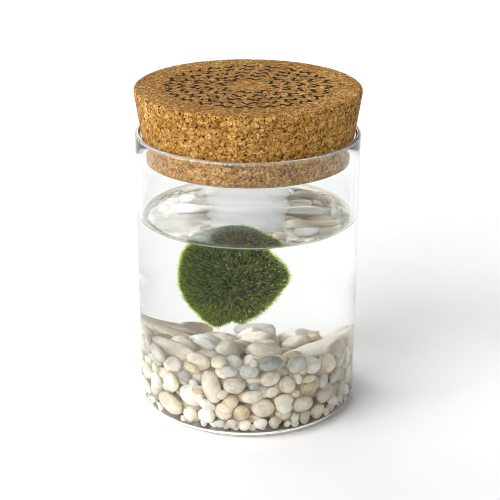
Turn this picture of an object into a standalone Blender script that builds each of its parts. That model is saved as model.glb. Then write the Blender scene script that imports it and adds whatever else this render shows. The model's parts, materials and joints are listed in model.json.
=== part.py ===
"""A marimo moss ball in its jar: a corked glass jar of water with a bed of washed pebbles.

The jar stands on the origin, in metres, +Z up, with its front towards -Y. A bearing is an angle
around the jar, seen from above, from the front (0) towards +X (90).
"""

import math
import random

import bmesh
import bpy
import numpy as np
from mathutils import Matrix, Vector

MM = 0.001
GAP = 0.3 * MM  # kept between neighbouring pieces

# Glass jar: blown cylinder with a fire-polished lip and a rounded foot
JAR_RADIUS = 42.5 * MM
JAR_HEIGHT = 110.0 * MM
JAR_WALL = 2.0 * MM
JAR_BASE = 2.6 * MM
JAR_FOOT_ROUND = 6.7 * MM
JAR_STEPS = 48
INNER_RADIUS = JAR_RADIUS - JAR_WALL
INNER_ROUND = JAR_FOOT_ROUND - JAR_WALL

# Cork stopper: a tapered disc that wedges in the lip
CORK_TOP = 127.0 * MM
CORK_UNDERSIDE = 99.5 * MM
CORK_TOP_RADIUS = 42.8 * MM
CORK_UNDERSIDE_RADIUS = 38.7 * MM
CORK_EDGE = 1.0 * MM
CORK_STEPS = 48

# Water
WATER_LEVEL = 77.7 * MM
WATER_RADIUS = INNER_RADIUS - GAP
WATER_PARTING = 61.5 * MM  # the two halves of the water meet here, round the moss
WATER_BLOCK_FLOOR = 17.0 * MM  # the lower half starts as a block from here, inside the bed
WATER_STEPS = 48
UNDERSIDE_RINGS = 6  # of the sheet that clears the water of the bed
UNDERSIDE_SECTORS = 36
UNDERSIDE_PROBE = 4.0 * MM  # the bed is also felt this far round each point of the sheet,
UNDERSIDE_PROBES = 8  # at this many places
UNDERSIDE_REACH = 7.0 * MM  # and the pebbles at the glass this far

# Moss ball: floats just under the surface, against the front of the glass
MOSS_CENTRE = Vector((-5.9 * MM, -22.2 * MM, 61.5 * MM))
MOSS_FRONT_DEPTH = 15.8 * MM
MOSS_BACK_DEPTH = 18.0 * MM
MOSS_TOP = 76.2 * MM  # flattened here by the water's surface
MOSS_WALL_RADIUS = 38.9 * MM  # and here by the glass
MOSS_LUMP = 0.45 * MM
MOSS_WAVES = ((9, 2), (8, 1), (7, 0))  # rate and shift of its lumps along X, Y and Z
MOSS_SUBDIVISIONS = 4
MOSS_ROOM = 1.2 * MM  # the pocket in the water is this much larger all round
POCKET_SUBDIVISIONS = 3
POCKET_SPREAD = 14  # degrees of the outline that each point of the pocket clears
# its outline seen from the front: angle from +X towards +Z in degrees, radius in mm
MOSS_OUTLINE = (
    (0, 20.3), (30, 17.9), (41, 17.5), (64, 19.8), (90, 20.0), (110, 18.3), (150, 19.1),
    (178, 18.6), (199, 19.3), (219, 19.6), (231, 20.0), (243, 21.3), (256, 22.6), (265, 20.6),
    (275, 18.0), (281, 21.2), (290, 19.9), (311, 19.0), (324, 18.9), (342, 19.0),
)

# Pebble bed
BED_FRONT = 32.0 * MM  # height of its top at the front of the jar
BED_BACK = 22.5 * MM
BED_FLOOR = JAR_BASE + GAP
BED_SECTORS = 46
BED_ROWS = (0.75, 0.5, 0.25)  # rows down its side, as shares of its height there
BED_PIT = 4.2 * MM  # how deep the bed's surface dips between pebbles
BED_BLOCK_TOP = 60.0 * MM  # its outline reaches up to here before the lumpy surface cuts it
BED_WINDOW = 1.2  # sectors to each side over which the bed keeps clear of a pebble at the glass
LUMP_SPACING = 9.6 * MM
LUMP_ROW = 0.87 * LUMP_SPACING  # rows stand closer, as pebbles sink between their neighbours
LUMP_HALF = (3.5 * MM, 5.2 * MM)  # smallest and largest half length of a pebble in the bed
LUMP_JITTER = 0.2  # of the spacing, on the bed's top
SIDE_JITTER = 0.15  # and at its side
LUMP_TILT = 25  # most tilt of a small pebble on the top, in degrees
LUMP_DROP = 1.6 * MM  # most that it lies below the general surface
TOP_RISE = 1.0 * MM  # the larger ones on the top stand this far above it
BED_CELL = 2.95 * MM  # cell size of the bed's surface

# Larger pebbles that lie on top of the bed: place across, place deep and half sizes in mm, turn
# and lean in degrees
TOP_PEBBLES = (
    (-22.5, -14.5, 11.5, 4.4, 3.8, -40, -8), (-11.5, 9, 4.9, 4.8, 4.3, 0, 0),
    (-20, 17, 9.0, 4.4, 3.4, -30, -6), (-19, 31, 7.5, 3.4, 2.4, -35, 0),
    (-11, 34, 3.4, 3.0, 2.8, 0, 0), (-6, -7, 4.5, 4.2, 4.0, 25, 10),
    (3.5, 17, 5.2, 4.8, 3.6, 0, 0), (4.5, -4, 5.8, 5.0, 4.0, 5, 0),
    (10.8, 20, 4.8, 4.2, 3.4, -10, 0), (16.5, -10, 11.5, 4.8, 4.4, 42, 10),
    (25, 11, 7.5, 4.2, 3.6, 60, 6), (29, -12, 6.5, 3.0, 2.6, 62, 6),
    (-11, -26, 4.6, 4.2, 3.6, -10, 0), (-4.5, -29.5, 2.9, 2.6, 2.5, 0, 0),
    (2, -28, 3.2, 2.8, 2.6, 0, 0), (-31, 3, 6.0, 3.8, 3.4, -70, 0),
)

# Pebbles that lie against the front of the glass: tone, bearing in degrees, height, length and
# width in mm, tilt of the length in degrees, and mm behind the glass
WALL_PEBBLES = (
    ("beige", -48, 8.4, 14.0, 7.8, -12, 0), ("ivory", -32.3, 14.4, 11.2, 9.4, 8, 0),
    ("cream", -33.4, 7.5, 6.2, 5.8, 80, 0), ("white", -22.8, 7.9, 7.2, 6.0, -10, 0),
    ("beige", -19.2, 19.3, 15.5, 7.4, -74, 0), ("tan", -8.8, 14.7, 6.2, 6.0, 4, 0),
    ("mauve", -7, 21.1, 8.6, 7.0, 8, 0), ("beige", -13.4, 9.4, 7.0, 5.8, -27, 0),
    ("tan", -4.3, 10.4, 6.6, 6.0, 80, 0), ("grey", -14.7, 5.6, 4.4, 3.0, 5, 0),
    ("mauve", -8.6, 6.5, 4.4, 3.8, 0, 0), ("ivory", -2.4, 6.3, 5.2, 4.2, 20, 0),
    ("ivory", -47.7, 17.4, 8.4, 7.2, -80, 0), ("white", -60.8, 14.1, 7.6, 6.4, -60, 0),
    ("mauve", -44.2, 25.9, 8.2, 6.2, 20, 0), ("slate", -36.3, 21.6, 5.2, 5.0, -5, 1),
    ("grey", -31.4, 20.4, 4.0, 3.6, -7, 1), ("beige", -60.7, 19.9, 4.6, 3.8, -45, 0),
    ("tan", -30.9, 27.0, 7.6, 3.8, -18, 0), ("grey", -59.4, 27.0, 10.4, 6.8, -10, 0),
    ("grey", -9.1, 27.6, 6.8, 4.8, 0, 0), ("grey", 2.1, 27.5, 7.2, 6.0, 0, 0),
    ("slate", 12, 29.9, 9.6, 6.2, 3, 0), ("grey", 29, 28.2, 8.0, 7.4, 20, 0),
    ("beige", 5.5, 24.2, 6.6, 4.6, -8, 1), ("beige", 12.6, 23.7, 8.0, 5.8, 20, 0),
    ("slate", 4.2, 21.6, 4.2, 3.0, 8, 1), ("beige", 23.6, 20.7, 7.6, 6.4, -62, 0),
    ("cream", 28.5, 22.0, 5.4, 3.6, -64, 1), ("yellow", 20.8, 15.1, 8.0, 5.6, -6, 0),
    ("beige", 9.5, 12.5, 8.8, 7.8, -8, 0), ("cream", 3.4, 17.4, 8.4, 5.4, 12, 0),
    ("cream", 13.9, 19.7, 5.4, 4.2, 35, 0), ("tan", 21, 8.3, 6.8, 6.4, -8, 0),
    ("white", 8.8, 6.4, 5.6, 4.2, 5, 0), ("mauve", 15.2, 6.6, 4.4, 4.2, -5, 0),
    ("beige", 33.1, 11.3, 9.2, 6.6, -2, 0), ("olive", 36.3, 17.4, 8.2, 5.8, -5, 0),
    ("yellow", 35.5, 21.8, 6.6, 3.2, 1, 0), ("grey", 46.7, 18.9, 6.4, 4.6, 75, 0),
    ("white", 39.1, 24.8, 6.6, 4.8, 5, 0), ("cream", 52, 24.2, 9.0, 6.8, -60, 0),
    ("grey", 57.6, 17.1, 8.2, 4.8, 28, 0), ("mauve", 50.3, 11.7, 8.8, 7.2, 45, 0),
    ("grey", 64.1, 9.4, 9.2, 5.0, 75, 0), ("beige", 44.4, 6.4, 6.8, 5.6, 25, 0),
    ("mauve", 34.8, 5.9, 5.2, 4.8, 60, 0), ("grey", 26.6, 6.9, 4.6, 3.4, 80, 0),
    ("cream", 73.7, 14.0, 8.0, 4.6, 75, 0), ("cream", 72, 21.5, 7.6, 4.4, 70, 0),
)
THICKNESS_SHARE = 0.84  # of a pebble's width
PEBBLE_DENT = 0.06  # how far its surface falls short of a plain ellipsoid
PEBBLE_FULLNESS = 1.03  # makes up for what the flat facets lose
SETTLING_ROUNDS = 260
PUSH_SHARE = 0.4  # of an overlap that each of two pebbles gives way in a round
HOME_PULL = 0.12  # of the way back to its own place that a pebble takes in a round

TONES = {
    "ivory": "#f2eee0", "cream": "#e6ddca", "white": "#eeecea", "beige": "#cfc5b4",
    "tan": "#cdbb9f", "mauve": "#c6bcb5", "grey": "#aeb1b0", "slate": "#7d868c",
    "yellow": "#e3d9b8", "olive": "#aa9e84",
}


def clear_scene():
    for old in list(bpy.data.objects):
        bpy.data.objects.remove(old, do_unlink=True)


def linear(code):
    """A #rrggbb colour as linear RGBA."""
    parts = [int(code[i:i + 2], 16) / 255 for i in (1, 3, 5)]
    return [c / 12.92 if c <= 0.04045 else ((c + 0.055) / 1.055) ** 2.4 for c in parts] + [1.0]


def material(name, colour, roughness, transmission=0.0, ior=1.5):
    made = bpy.data.materials.new(name)
    made.use_nodes = True
    shader = made.node_tree.nodes["Principled BSDF"]
    shader.inputs["Base Color"].default_value = linear(colour)
    shader.inputs["Roughness"].default_value = roughness
    shader.inputs["Metallic"].default_value = 0.0
    shader.inputs["Transmission Weight"].default_value = transmission
    shader.inputs["IOR"].default_value = ior
    made.diffuse_color = linear(colour)
    return made


def collection(name):
    made = bpy.data.collections.new(name)
    bpy.context.scene.collection.children.link(made)
    return made


def add_object(name, mesh, group, finish):
    piece = bpy.data.objects.new(name, mesh)
    group.objects.link(piece)
    if finish:
        piece.data.materials.append(finish)
    return piece


def mesh_of(name, bm, smooth_angle=40):
    """The bmesh as a mesh, shaded smooth but for edges sharper than the angle."""
    bmesh.ops.recalc_face_normals(bm, faces=bm.faces)
    made = bpy.data.meshes.new(name)
    bm.to_mesh(made)
    bm.free()
    made.shade_smooth()
    made.set_sharp_from_angle(angle=math.radians(smooth_angle))
    return made


def arc(centre_x, centre_z, radius, start, end, steps):
    """Points of an arc in the XZ plane, from one angle to another in degrees."""
    angles = [math.radians(start + (end - start) * i / steps) for i in range(steps + 1)]
    return [(centre_x + radius * math.cos(a), centre_z + radius * math.sin(a)) for a in angles]


def turned(name, profile, steps, group, finish):
    """A solid of revolution from a profile that runs down its outer side and ends on the axis."""
    mesh = bpy.data.meshes.new(name)
    edges = [(i, i + 1) for i in range(len(profile) - 1)]
    mesh.from_pydata([(x, 0, z) for x, z in profile], edges, [])
    piece = add_object(name, mesh, group, finish)
    screw = piece.modifiers.new("Turn", "SCREW")
    screw.axis = "Z"
    screw.angle = 2 * math.pi
    screw.steps = steps
    screw.render_steps = steps
    screw.use_merge_vertices = True
    screw.merge_threshold = 0.00005
    screw.use_smooth_shade = True
    return piece


def glass_jar(group):
    lip = JAR_WALL / 2
    foot = JAR_RADIUS - JAR_FOOT_ROUND
    profile = [(0, JAR_BASE)]
    profile += arc(foot, JAR_BASE + INNER_ROUND, INNER_ROUND, -90, 0, 3)
    profile += arc(INNER_RADIUS + lip, JAR_HEIGHT - lip, lip, 180, 0, 4)
    profile += arc(foot, JAR_FOOT_ROUND, JAR_FOOT_ROUND, 0, -90, 4)
    profile += [(0, 0)]
    finish = material("clear glass", "#f4faf7", 0.03, 1.0, 1.47)
    return turned("glass_jar", profile, JAR_STEPS, group, finish)


def cork_radius(height):
    share = (height - CORK_UNDERSIDE) / (CORK_TOP - CORK_UNDERSIDE)
    return CORK_UNDERSIDE_RADIUS + share * (CORK_TOP_RADIUS - CORK_UNDERSIDE_RADIUS)


def cork_stopper(group):
    top = cork_radius(CORK_TOP - CORK_EDGE)
    low = cork_radius(CORK_UNDERSIDE + CORK_EDGE)
    profile = [(0, CORK_TOP)]
    profile += arc(top - CORK_EDGE, CORK_TOP - CORK_EDGE, CORK_EDGE, 90, 0, 2)
    profile += arc(low - CORK_EDGE, CORK_UNDERSIDE + CORK_EDGE, CORK_EDGE, 0, -90, 1)
    profile += [(0, CORK_UNDERSIDE)]
    finish = material("pressed cork", "#b98a57", 0.85)
    return turned("cork_stopper", profile, CORK_STEPS, group, finish)


def outline_radius(angle):
    """The moss ball's radius at an angle of its front outline, eased between the given points."""
    points = list(MOSS_OUTLINE)
    points = [(points[-1][0] - 360, points[-1][1])] + points + [(points[0][0] + 360, points[0][1])]
    if angle < points[0][0]:
        angle += 360
    for (a, low), (b, high) in zip(points, points[1:]):
        if a <= angle <= b:
            share = (1 - math.cos(math.pi * (angle - a) / (b - a))) / 2
            return (low + share * (high - low)) * MM
    raise ValueError(f"no outline at {angle} degrees")


def moss_point(direction, swell, lump, spread):
    """The moss surface in a direction from its centre, swollen by a margin.

    With a spread in degrees, it takes the widest outline within that angle.
    """
    angle = math.degrees(math.atan2(direction.z, direction.x)) % 360
    across = math.hypot(direction.x, direction.z)
    waves = [math.sin(rate * part + shift) for part, (rate, shift) in zip(direction, MOSS_WAVES)]
    swell += lump * math.prod(waves)
    nearby = [angle + share * spread for share in (-1.0, -0.5, 0.0, 0.5, 1.0)]
    radius = max(outline_radius(near % 360) for near in nearby) + swell
    depth = MOSS_FRONT_DEPTH if direction.y < 0 else MOSS_BACK_DEPTH
    turn = math.radians(angle)
    offset = (radius * across * math.cos(turn), (depth + swell) * direction.y,
              radius * across * math.sin(turn))
    return MOSS_CENTRE + Vector(offset)


def moss_mesh(name, subdivisions, swell, lump, spread):
    """A lumpy ball, pressed flat where it meets the water's surface and the glass."""
    bm = bmesh.new()
    bmesh.ops.create_icosphere(bm, subdivisions=subdivisions, radius=1.0)
    highest = MOSS_TOP + swell / 2
    widest = MOSS_WALL_RADIUS + swell / 2
    for vert in bm.verts:
        point = moss_point(vert.co.normalized(), swell, lump, spread)
        point.z = min(point.z, highest)
        from_axis = math.hypot(point.x, point.y)
        if from_axis > widest:
            point.x *= widest / from_axis
            point.y *= widest / from_axis
        vert.co = point
    return mesh_of(name, bm, 80)


def moss_ball(group):
    finish = material("moss", "#3f5a24", 1.0)
    mesh = moss_mesh("moss_ball", MOSS_SUBDIVISIONS, 0.0, MOSS_LUMP, 0)
    return add_object("moss_ball", mesh, group, finish)


def bed_top(deep):
    """Height of the bed's general surface, which falls towards the back of the jar."""
    share = (deep + INNER_RADIUS) / (2 * INNER_RADIUS)
    return BED_FRONT + share * (BED_BACK - BED_FRONT)


def ellipsoid(centre, half, turn):
    """A pebble: its centre, its shape matrix and its turn."""
    turn = np.array(turn)
    return np.array(centre), turn @ np.diag(np.square(half)) @ turn.T, turn, np.array(half)


def turned_about(*steps):
    """A rotation matrix from (axis, degrees) steps, the first applied first."""
    whole = Matrix.Identity(3)
    for axis, degrees in steps:
        whole = Matrix.Rotation(math.radians(degrees), 3, axis) @ whole
    return whole


def wall_pebbles():
    """The pebbles against the glass, each lying flat to the wall at its bearing."""
    pebbles = []
    for _, bearing, height, length, width, tilt, behind in WALL_PEBBLES:
        half = [length / 2 * MM, width / 2 * THICKNESS_SHARE * MM, width / 2 * MM]
        half = [PEBBLE_FULLNESS * size for size in half]
        turn = turned_about(("Y", -tilt), ("Z", bearing))
        out = INNER_RADIUS - GAP - half[1] - behind * MM
        angle = math.radians(bearing)
        centre = (out * math.sin(angle), -out * math.cos(angle), height * MM)
        pebbles.append(ellipsoid(centre, half, turn))
    return pebbles


def top_lumps():
    """The pebbles at the top of the bed: the larger ones, then small ones on a jittered grid."""
    lumps = []
    for across, deep, half_long, half_wide, half_thick, turn, lean in TOP_PEBBLES:
        x, y = across * MM, deep * MM
        half = (half_long * MM, half_wide * MM, half_thick * MM)
        height = bed_top(y) + TOP_RISE - half[2]
        lumps.append(ellipsoid((x, y, height), half, turned_about(("Y", -lean), ("Z", turn))))
    dice = random.Random(7)
    count = int(INNER_RADIUS / LUMP_SPACING) + 1
    for row in range(-count, count + 1):
        for column in range(-count, count + 1):
            off_x = dice.uniform(-LUMP_JITTER, LUMP_JITTER)
            off_y = dice.uniform(-LUMP_JITTER, LUMP_JITTER)
            x = (column + 0.5 * (row % 2) + off_x) * LUMP_SPACING
            y = row * LUMP_ROW + off_y * LUMP_SPACING
            half = sorted((dice.uniform(*LUMP_HALF) for _ in range(3)), reverse=True)
            tilt = dice.uniform(-LUMP_TILT, LUMP_TILT)
            turn = turned_about(("X", tilt), ("Z", dice.uniform(0, 180)))
            drop = dice.uniform(0.0, LUMP_DROP)
            if math.hypot(x, y) < INNER_RADIUS - half[2]:
                lumps.append(ellipsoid((x, y, bed_top(y) - half[2] - drop), half, turn))
    return lumps


def side_lumps():
    """The pebbles at the glass round the sides and the back, row by row."""
    lumps = []
    dice = random.Random(11)
    rows = int(BED_FRONT / LUMP_ROW)
    sectors = int(2 * math.pi * INNER_RADIUS / LUMP_SPACING)
    for row in range(rows):
        for sector in range(sectors):
            off = dice.uniform(-SIDE_JITTER, SIDE_JITTER)
            bearing = (sector + 0.5 * (row % 2) + off) * 360 / sectors
            half = sorted((dice.uniform(*LUMP_HALF) for _ in range(3)), reverse=True)
            half = (half[0], half[2], half[1])
            height = BED_FLOOR + half[2] + row * LUMP_ROW
            turn = turned_about(("Y", dice.uniform(-90, 90)), ("Z", bearing))
            out = WATER_RADIUS - half[1]
            angle = math.radians(bearing)
            centre = (out * math.sin(angle), -out * math.cos(angle), height)
            lumps.append(ellipsoid(centre, half, turn))
    return lumps


def farthest_hit(origin, direction, lumps):
    """How far along a ray the lumps' surface lies, at its farthest; 0 where the ray misses."""
    origin, direction = np.array(origin), np.array(direction, float)
    farthest = 0.0
    for centre, shape, _, half in lumps:
        off = origin - centre
        if np.linalg.norm(off - (off @ direction) * direction) > half.max():
            continue
        inverse = np.linalg.inv(shape)
        a = direction @ inverse @ direction
        b = 2 * direction @ inverse @ off
        root = b * b - 4 * a * (off @ inverse @ off - 1)
        if root > 0:
            farthest = max(farthest, (-b + math.sqrt(root)) / (2 * a))
    return farthest


def reach_along(shapes, directions):
    """How far each ellipsoid reaches from its centre along a direction of its own."""
    return np.sqrt(np.einsum("ni,nij,nj->n", directions, shapes, directions))


def parting(step, first, second):
    """Direction that parts two ellipsoids best, and the room left between them along it."""
    size_a = np.ones(len(step))
    size_b = np.ones(len(step))
    for _ in range(4):
        mixed = first / size_a[:, None, None] + second / size_b[:, None, None]
        normal = np.linalg.solve(mixed, step[:, :, None])[:, :, 0]
        normal /= np.linalg.norm(normal, axis=1)[:, None]
        size_a = reach_along(first, normal)
        size_b = reach_along(second, normal)
    return normal, np.einsum("ni,ni->n", step, normal) - size_a - size_b


def settled(pebbles):
    """Centres of the pebbles once they are pushed clear of each other, the glass and the base."""
    centres = np.array([pebble[0] for pebble in pebbles])
    homes = centres.copy()
    shapes = np.array([pebble[1] for pebble in pebbles])
    first, second = np.triu_indices(len(pebbles), 1)
    for _ in range(SETTLING_ROUNDS):
        step = centres[second] - centres[first]
        normal, room = parting(step, shapes[first], shapes[second])
        push = normal * np.clip(GAP - room, 0, None)[:, None] * PUSH_SHARE
        np.add.at(centres, second, push)
        np.add.at(centres, first, -push)
        from_axis = np.hypot(centres[:, 0], centres[:, 1])
        out = np.stack([centres[:, 0] / from_axis, centres[:, 1] / from_axis, 0 * from_axis], 1)
        over = from_axis + reach_along(shapes, out) - WATER_RADIUS
        centres -= out * np.clip(over, 0, None)[:, None]
        down = np.tile((0.0, 0.0, -1.0), (len(pebbles), 1))
        under = BED_FLOOR - (centres[:, 2] - reach_along(shapes, down))
        centres[:, 2] += np.clip(under, 0, None)
        corner = (out + down) / math.sqrt(2)
        deep = np.einsum("ni,ni->n", centres, corner) + reach_along(shapes, corner)
        limit = (INNER_RADIUS - INNER_ROUND - JAR_BASE - INNER_ROUND) / math.sqrt(2)
        deep -= limit + INNER_ROUND - GAP
        centres -= corner * np.clip(deep, 0, None)[:, None]
        centres += (homes - centres) * HOME_PULL
    return centres


def pebble_points(pebble, centre, seed):
    """The corners of a pebble: a dented ellipsoid, kept inside the jar."""
    dice = random.Random(seed)
    waves = [(dice.uniform(1.5, 3.0), dice.uniform(0, 6.3)) for _ in range(3)]
    bm = bmesh.new()
    bmesh.ops.create_icosphere(bm, subdivisions=2, radius=1.0)
    _, _, turn, half = pebble
    points = []
    for vert in bm.verts:
        unit = vert.co.normalized()
        dent = sum(math.sin(rate * unit[i] + shift) for i, (rate, shift) in enumerate(waves)) / 3
        local = np.array(unit) * half * (1 - PEBBLE_DENT * (0.5 + 0.5 * dent))
        points.append(kept_inside(turn @ local + centre))
    return np.array(points), bm


def kept_inside(point):
    """A point moved, if need be, to clear the jar's wall, its base and the round between them."""
    from_axis = math.hypot(point[0], point[1])
    height = max(point[2], BED_FLOOR)
    radius = min(from_axis, WATER_RADIUS)
    round_x = INNER_RADIUS - INNER_ROUND
    round_z = JAR_BASE + INNER_ROUND
    if radius > round_x and height < round_z:
        off = math.hypot(radius - round_x, height - round_z)
        share = min(1.0, (INNER_ROUND - GAP) / off)
        radius = round_x + (radius - round_x) * share
        height = round_z + (height - round_z) * share
    scale = radius / from_axis
    return np.array((point[0] * scale, point[1] * scale, height))


def keep_apart(clouds, centres, shapes):
    """Flattens each two pebbles a little where they would touch, half the gap each."""
    for i in range(len(clouds)):
        for j in range(i + 1, len(clouds)):
            step = (centres[j] - centres[i])[None]
            normal = parting(step, shapes[i][None], shapes[j][None])[0][0]
            ahead = clouds[i] @ normal
            behind = clouds[j] @ normal
            short = GAP - (behind.min() - ahead.max())
            if short > 0:
                middle = (ahead.max() + behind.min()) / 2
                clouds[i] -= np.clip(ahead - (middle - GAP / 2), 0, None)[:, None] * normal
                clouds[j] += np.clip(middle + GAP / 2 - behind, 0, None)[:, None] * normal


def pebbles(group):
    """One object for each pebble against the front glass; gives back their corners."""
    finishes = {tone: material(f"{tone} pebble", code, 0.6) for tone, code in TONES.items()}
    shaped = wall_pebbles()
    centres = settled(shaped)
    made = [pebble_points(pebble, centre, seed)
            for seed, (pebble, centre) in enumerate(zip(shaped, centres))]
    clouds = [points for points, _ in made]
    keep_apart(clouds, centres, [pebble[1] for pebble in shaped])
    for number, (points, (_, bm)) in enumerate(zip(clouds, made), 1):
        for vert, point in zip(bm.verts, points):
            vert.co = point
        name = f"pebble_{number:02d}"
        add_object(name, mesh_of(name, bm, 60), group, finishes[WALL_PEBBLES[number - 1][0]])
    return clouds


def inner_reach(angle, clouds):
    """How far from the axis the bed may reach at a bearing, behind the pebbles at the glass."""
    reach = WATER_RADIUS
    window = 2 * math.pi / BED_SECTORS * BED_WINDOW
    for points in clouds:
        bearings = np.arctan2(points[:, 0], -points[:, 1])
        off = np.abs((bearings - angle + math.pi) % (2 * math.pi) - math.pi)
        near = off < window
        if near.any():
            reach = min(reach, np.hypot(points[near, 0], points[near, 1]).min() - 2 * GAP)
    return reach


def polar_sheet(rings, sectors):
    """A flat round sheet of radius 1, spun from a radial line, with its rim edges."""
    bm = bmesh.new()
    spine = [bm.verts.new((i / rings, 0, 0)) for i in range(rings + 1)]
    edges = [bm.edges.new(pair) for pair in zip(spine, spine[1:])]
    bmesh.ops.spin(bm, geom=spine + edges, cent=(0, 0, 0), axis=(0, 0, 1),
                   angle=2 * math.pi, steps=sectors)
    bmesh.ops.remove_doubles(bm, verts=bm.verts, dist=1e-5)
    return bm


def skirt(bm, steps):
    """Closes a sheet downwards: each step moves its rim to a share of its radius and a height."""
    rim = [edge for edge in bm.edges if edge.is_boundary]
    rows = []
    for share, height in steps:
        made = bmesh.ops.extrude_edge_only(bm, edges=rim)["geom"]
        rim = [item for item in made if isinstance(item, bmesh.types.BMEdge)
               and item.is_boundary]
        rows.append({v for edge in rim for v in edge.verts})
        for vert in rows[-1]:
            vert.co = (vert.co.x * share, vert.co.y * share, height)
    bmesh.ops.contextual_create(bm, geom=rim)
    return rows


def bed_surface(top):
    """A block whose top is the lumpy surface of the bed, and that reaches past the glass."""
    cells = 2 * math.ceil(JAR_RADIUS / BED_CELL)
    bm = bmesh.new()
    bmesh.ops.create_grid(bm, x_segments=cells, y_segments=cells, size=cells * BED_CELL / 2)
    for vert in bm.verts:
        x, y = vert.co.x, vert.co.y
        hit = farthest_hit((x, y, 0), (0, 0, 1), top)
        vert.co.z = max(hit, bed_top(y) - BED_PIT)
    skirt(bm, ((1.0, 0.0),))
    return mesh_of("bed_surface", bm, 60)


def bed_outline(clouds, side):
    """The bed from the side: behind the pebbles at the front, lumpy at the glass elsewhere."""
    bm = bmesh.new()
    bmesh.ops.create_circle(bm, cap_ends=True, segments=BED_SECTORS, radius=1.0)
    for vert in bm.verts:
        bearing = math.atan2(vert.co.x, -vert.co.y)
        reach = inner_reach(bearing, clouds)
        vert.co = (reach * math.sin(bearing), -reach * math.cos(bearing), BED_BLOCK_TOP)
    foot = (WATER_RADIUS - INNER_ROUND) / WATER_RADIUS
    low = BED_FLOOR + INNER_ROUND
    shares = (1.0,) + BED_ROWS + (0.0,)
    rows = skirt(bm, [(1.0, low + share * (BED_BACK - low)) for share in shares]
                 + [(foot, BED_FLOOR)])
    for share, row in zip(shares, rows):
        for vert in row:
            vert.co.z = low + share * (bed_top(vert.co.y) - BED_PIT - low)
    for vert in set().union(*rows[1:-1]):
        reach = math.hypot(vert.co.x, vert.co.y)
        out = (vert.co.x / reach, vert.co.y / reach, 0)
        hit = farthest_hit((0, 0, vert.co.z), out, side)
        lumpy = min(reach, max(hit, WATER_RADIUS - BED_PIT))
        vert.co.x, vert.co.y = out[0] * lumpy, out[1] * lumpy
    return mesh_of("pebble_bed", bm, 60)


def pebble_bed(group, cutters, clouds, top, side):
    """The rest of the pebbles as one lumpy mass, behind and beside those at the front glass."""
    finish = material("washed pebbles", "#d6cebd", 0.7)
    bed = add_object("pebble_bed", bed_outline(clouds, side), group, finish)
    cut(bed, hidden_cutter("bed_surface_cutter", bed_surface(top), cutters), "INTERSECT")


def water_underside(clouds, top):
    """A cutter that clears the water of the bed and of every pebble below it."""
    bm = polar_sheet(UNDERSIDE_RINGS, UNDERSIDE_SECTORS)
    probe = UNDERSIDE_PROBE
    points = np.concatenate(clouds)
    for vert in bm.verts:
        x, y = vert.co.x * JAR_RADIUS, vert.co.y * JAR_RADIUS
        heights = [bed_top(y) - BED_PIT, farthest_hit((x, y, 0), (0, 0, 1), top)]
        for step in range(UNDERSIDE_PROBES):
            turn = 2 * math.pi * step / UNDERSIDE_PROBES
            beside = (x + probe * math.cos(turn), y + probe * math.sin(turn), 0)
            heights.append(farthest_hit(beside, (0, 0, 1), top))
        near = np.hypot(points[:, 0] - x, points[:, 1] - y) < UNDERSIDE_REACH
        if near.any():
            heights.append(points[near, 2].max())
        vert.co = (x, y, max(heights) + 3 * GAP)
    skirt(bm, ((1.0, 0.0),))
    return mesh_of("water_underside", bm)


def cut(piece, cutter, operation="DIFFERENCE"):
    """Takes the cutter's shape out of the piece, or keeps only what lies inside it."""
    boolean = piece.modifiers.new(cutter.name, "BOOLEAN")
    boolean.operation = operation
    boolean.solver = "EXACT"
    boolean.object = cutter


def hidden_cutter(name, mesh, group):
    cutter = add_object(name, mesh, group, None)
    cutter.hide_render = True
    cutter.display_type = "WIRE"
    return cutter


def water_body(name, low, high, group, finish):
    bm = bmesh.new()
    bmesh.ops.create_cone(bm, cap_ends=True, segments=WATER_STEPS, radius1=WATER_RADIUS,
                          radius2=WATER_RADIUS, depth=high - low)
    bmesh.ops.translate(bm, verts=bm.verts, vec=(0, 0, (low + high) / 2))
    return add_object(name, mesh_of(name, bm), group, finish)


def water(group, cutters, clouds, top):
    """The water in two halves, so that the moss ball lies in an open pocket of each."""
    finish = material("water", "#ffffff", 0.0, 1.0, 1.333)
    split_low = WATER_PARTING - GAP / 2
    split_high = WATER_PARTING + GAP / 2
    lower = water_body("water_lower", WATER_BLOCK_FLOOR, split_low, group, finish)
    upper = water_body("water_upper", split_high, WATER_LEVEL, group, finish)
    underside = hidden_cutter("underside_cutter", water_underside(clouds, top), cutters)
    pocket_mesh = moss_mesh("moss_pocket", POCKET_SUBDIVISIONS, MOSS_ROOM, 0.0, POCKET_SPREAD)
    pocket = hidden_cutter("moss_pocket_cutter", pocket_mesh, cutters)
    cut(lower, underside)
    cut(lower, pocket)
    cut(upper, pocket)


def main():
    clear_scene()
    group = collection("marimo_jar")
    cutters = collection("cutters")
    glass_jar(group)
    cork_stopper(group)
    moss_ball(group)
    clouds = pebbles(group)
    top = top_lumps()
    pebble_bed(group, cutters, clouds, top, side_lumps())
    water(group, cutters, clouds, top)


main()
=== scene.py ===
"""Dresses the solids of a marimo moss ball in its corked jar: glass, cork, water, moss, pebbles.

The jar stands on the origin, in metres, +Z up, with its front towards -Y. A bearing is an angle
around the jar, seen from above, from the front (0) towards +X (90).
"""

import itertools
import json
import math
import random

import bmesh
import bpy
import numpy as np
from bpy.props import FloatProperty, FloatVectorProperty, IntProperty, PointerProperty
from mathutils import Matrix, Vector, noise
from mathutils.bvhtree import BVHTree
from mathutils.kdtree import KDTree


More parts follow.
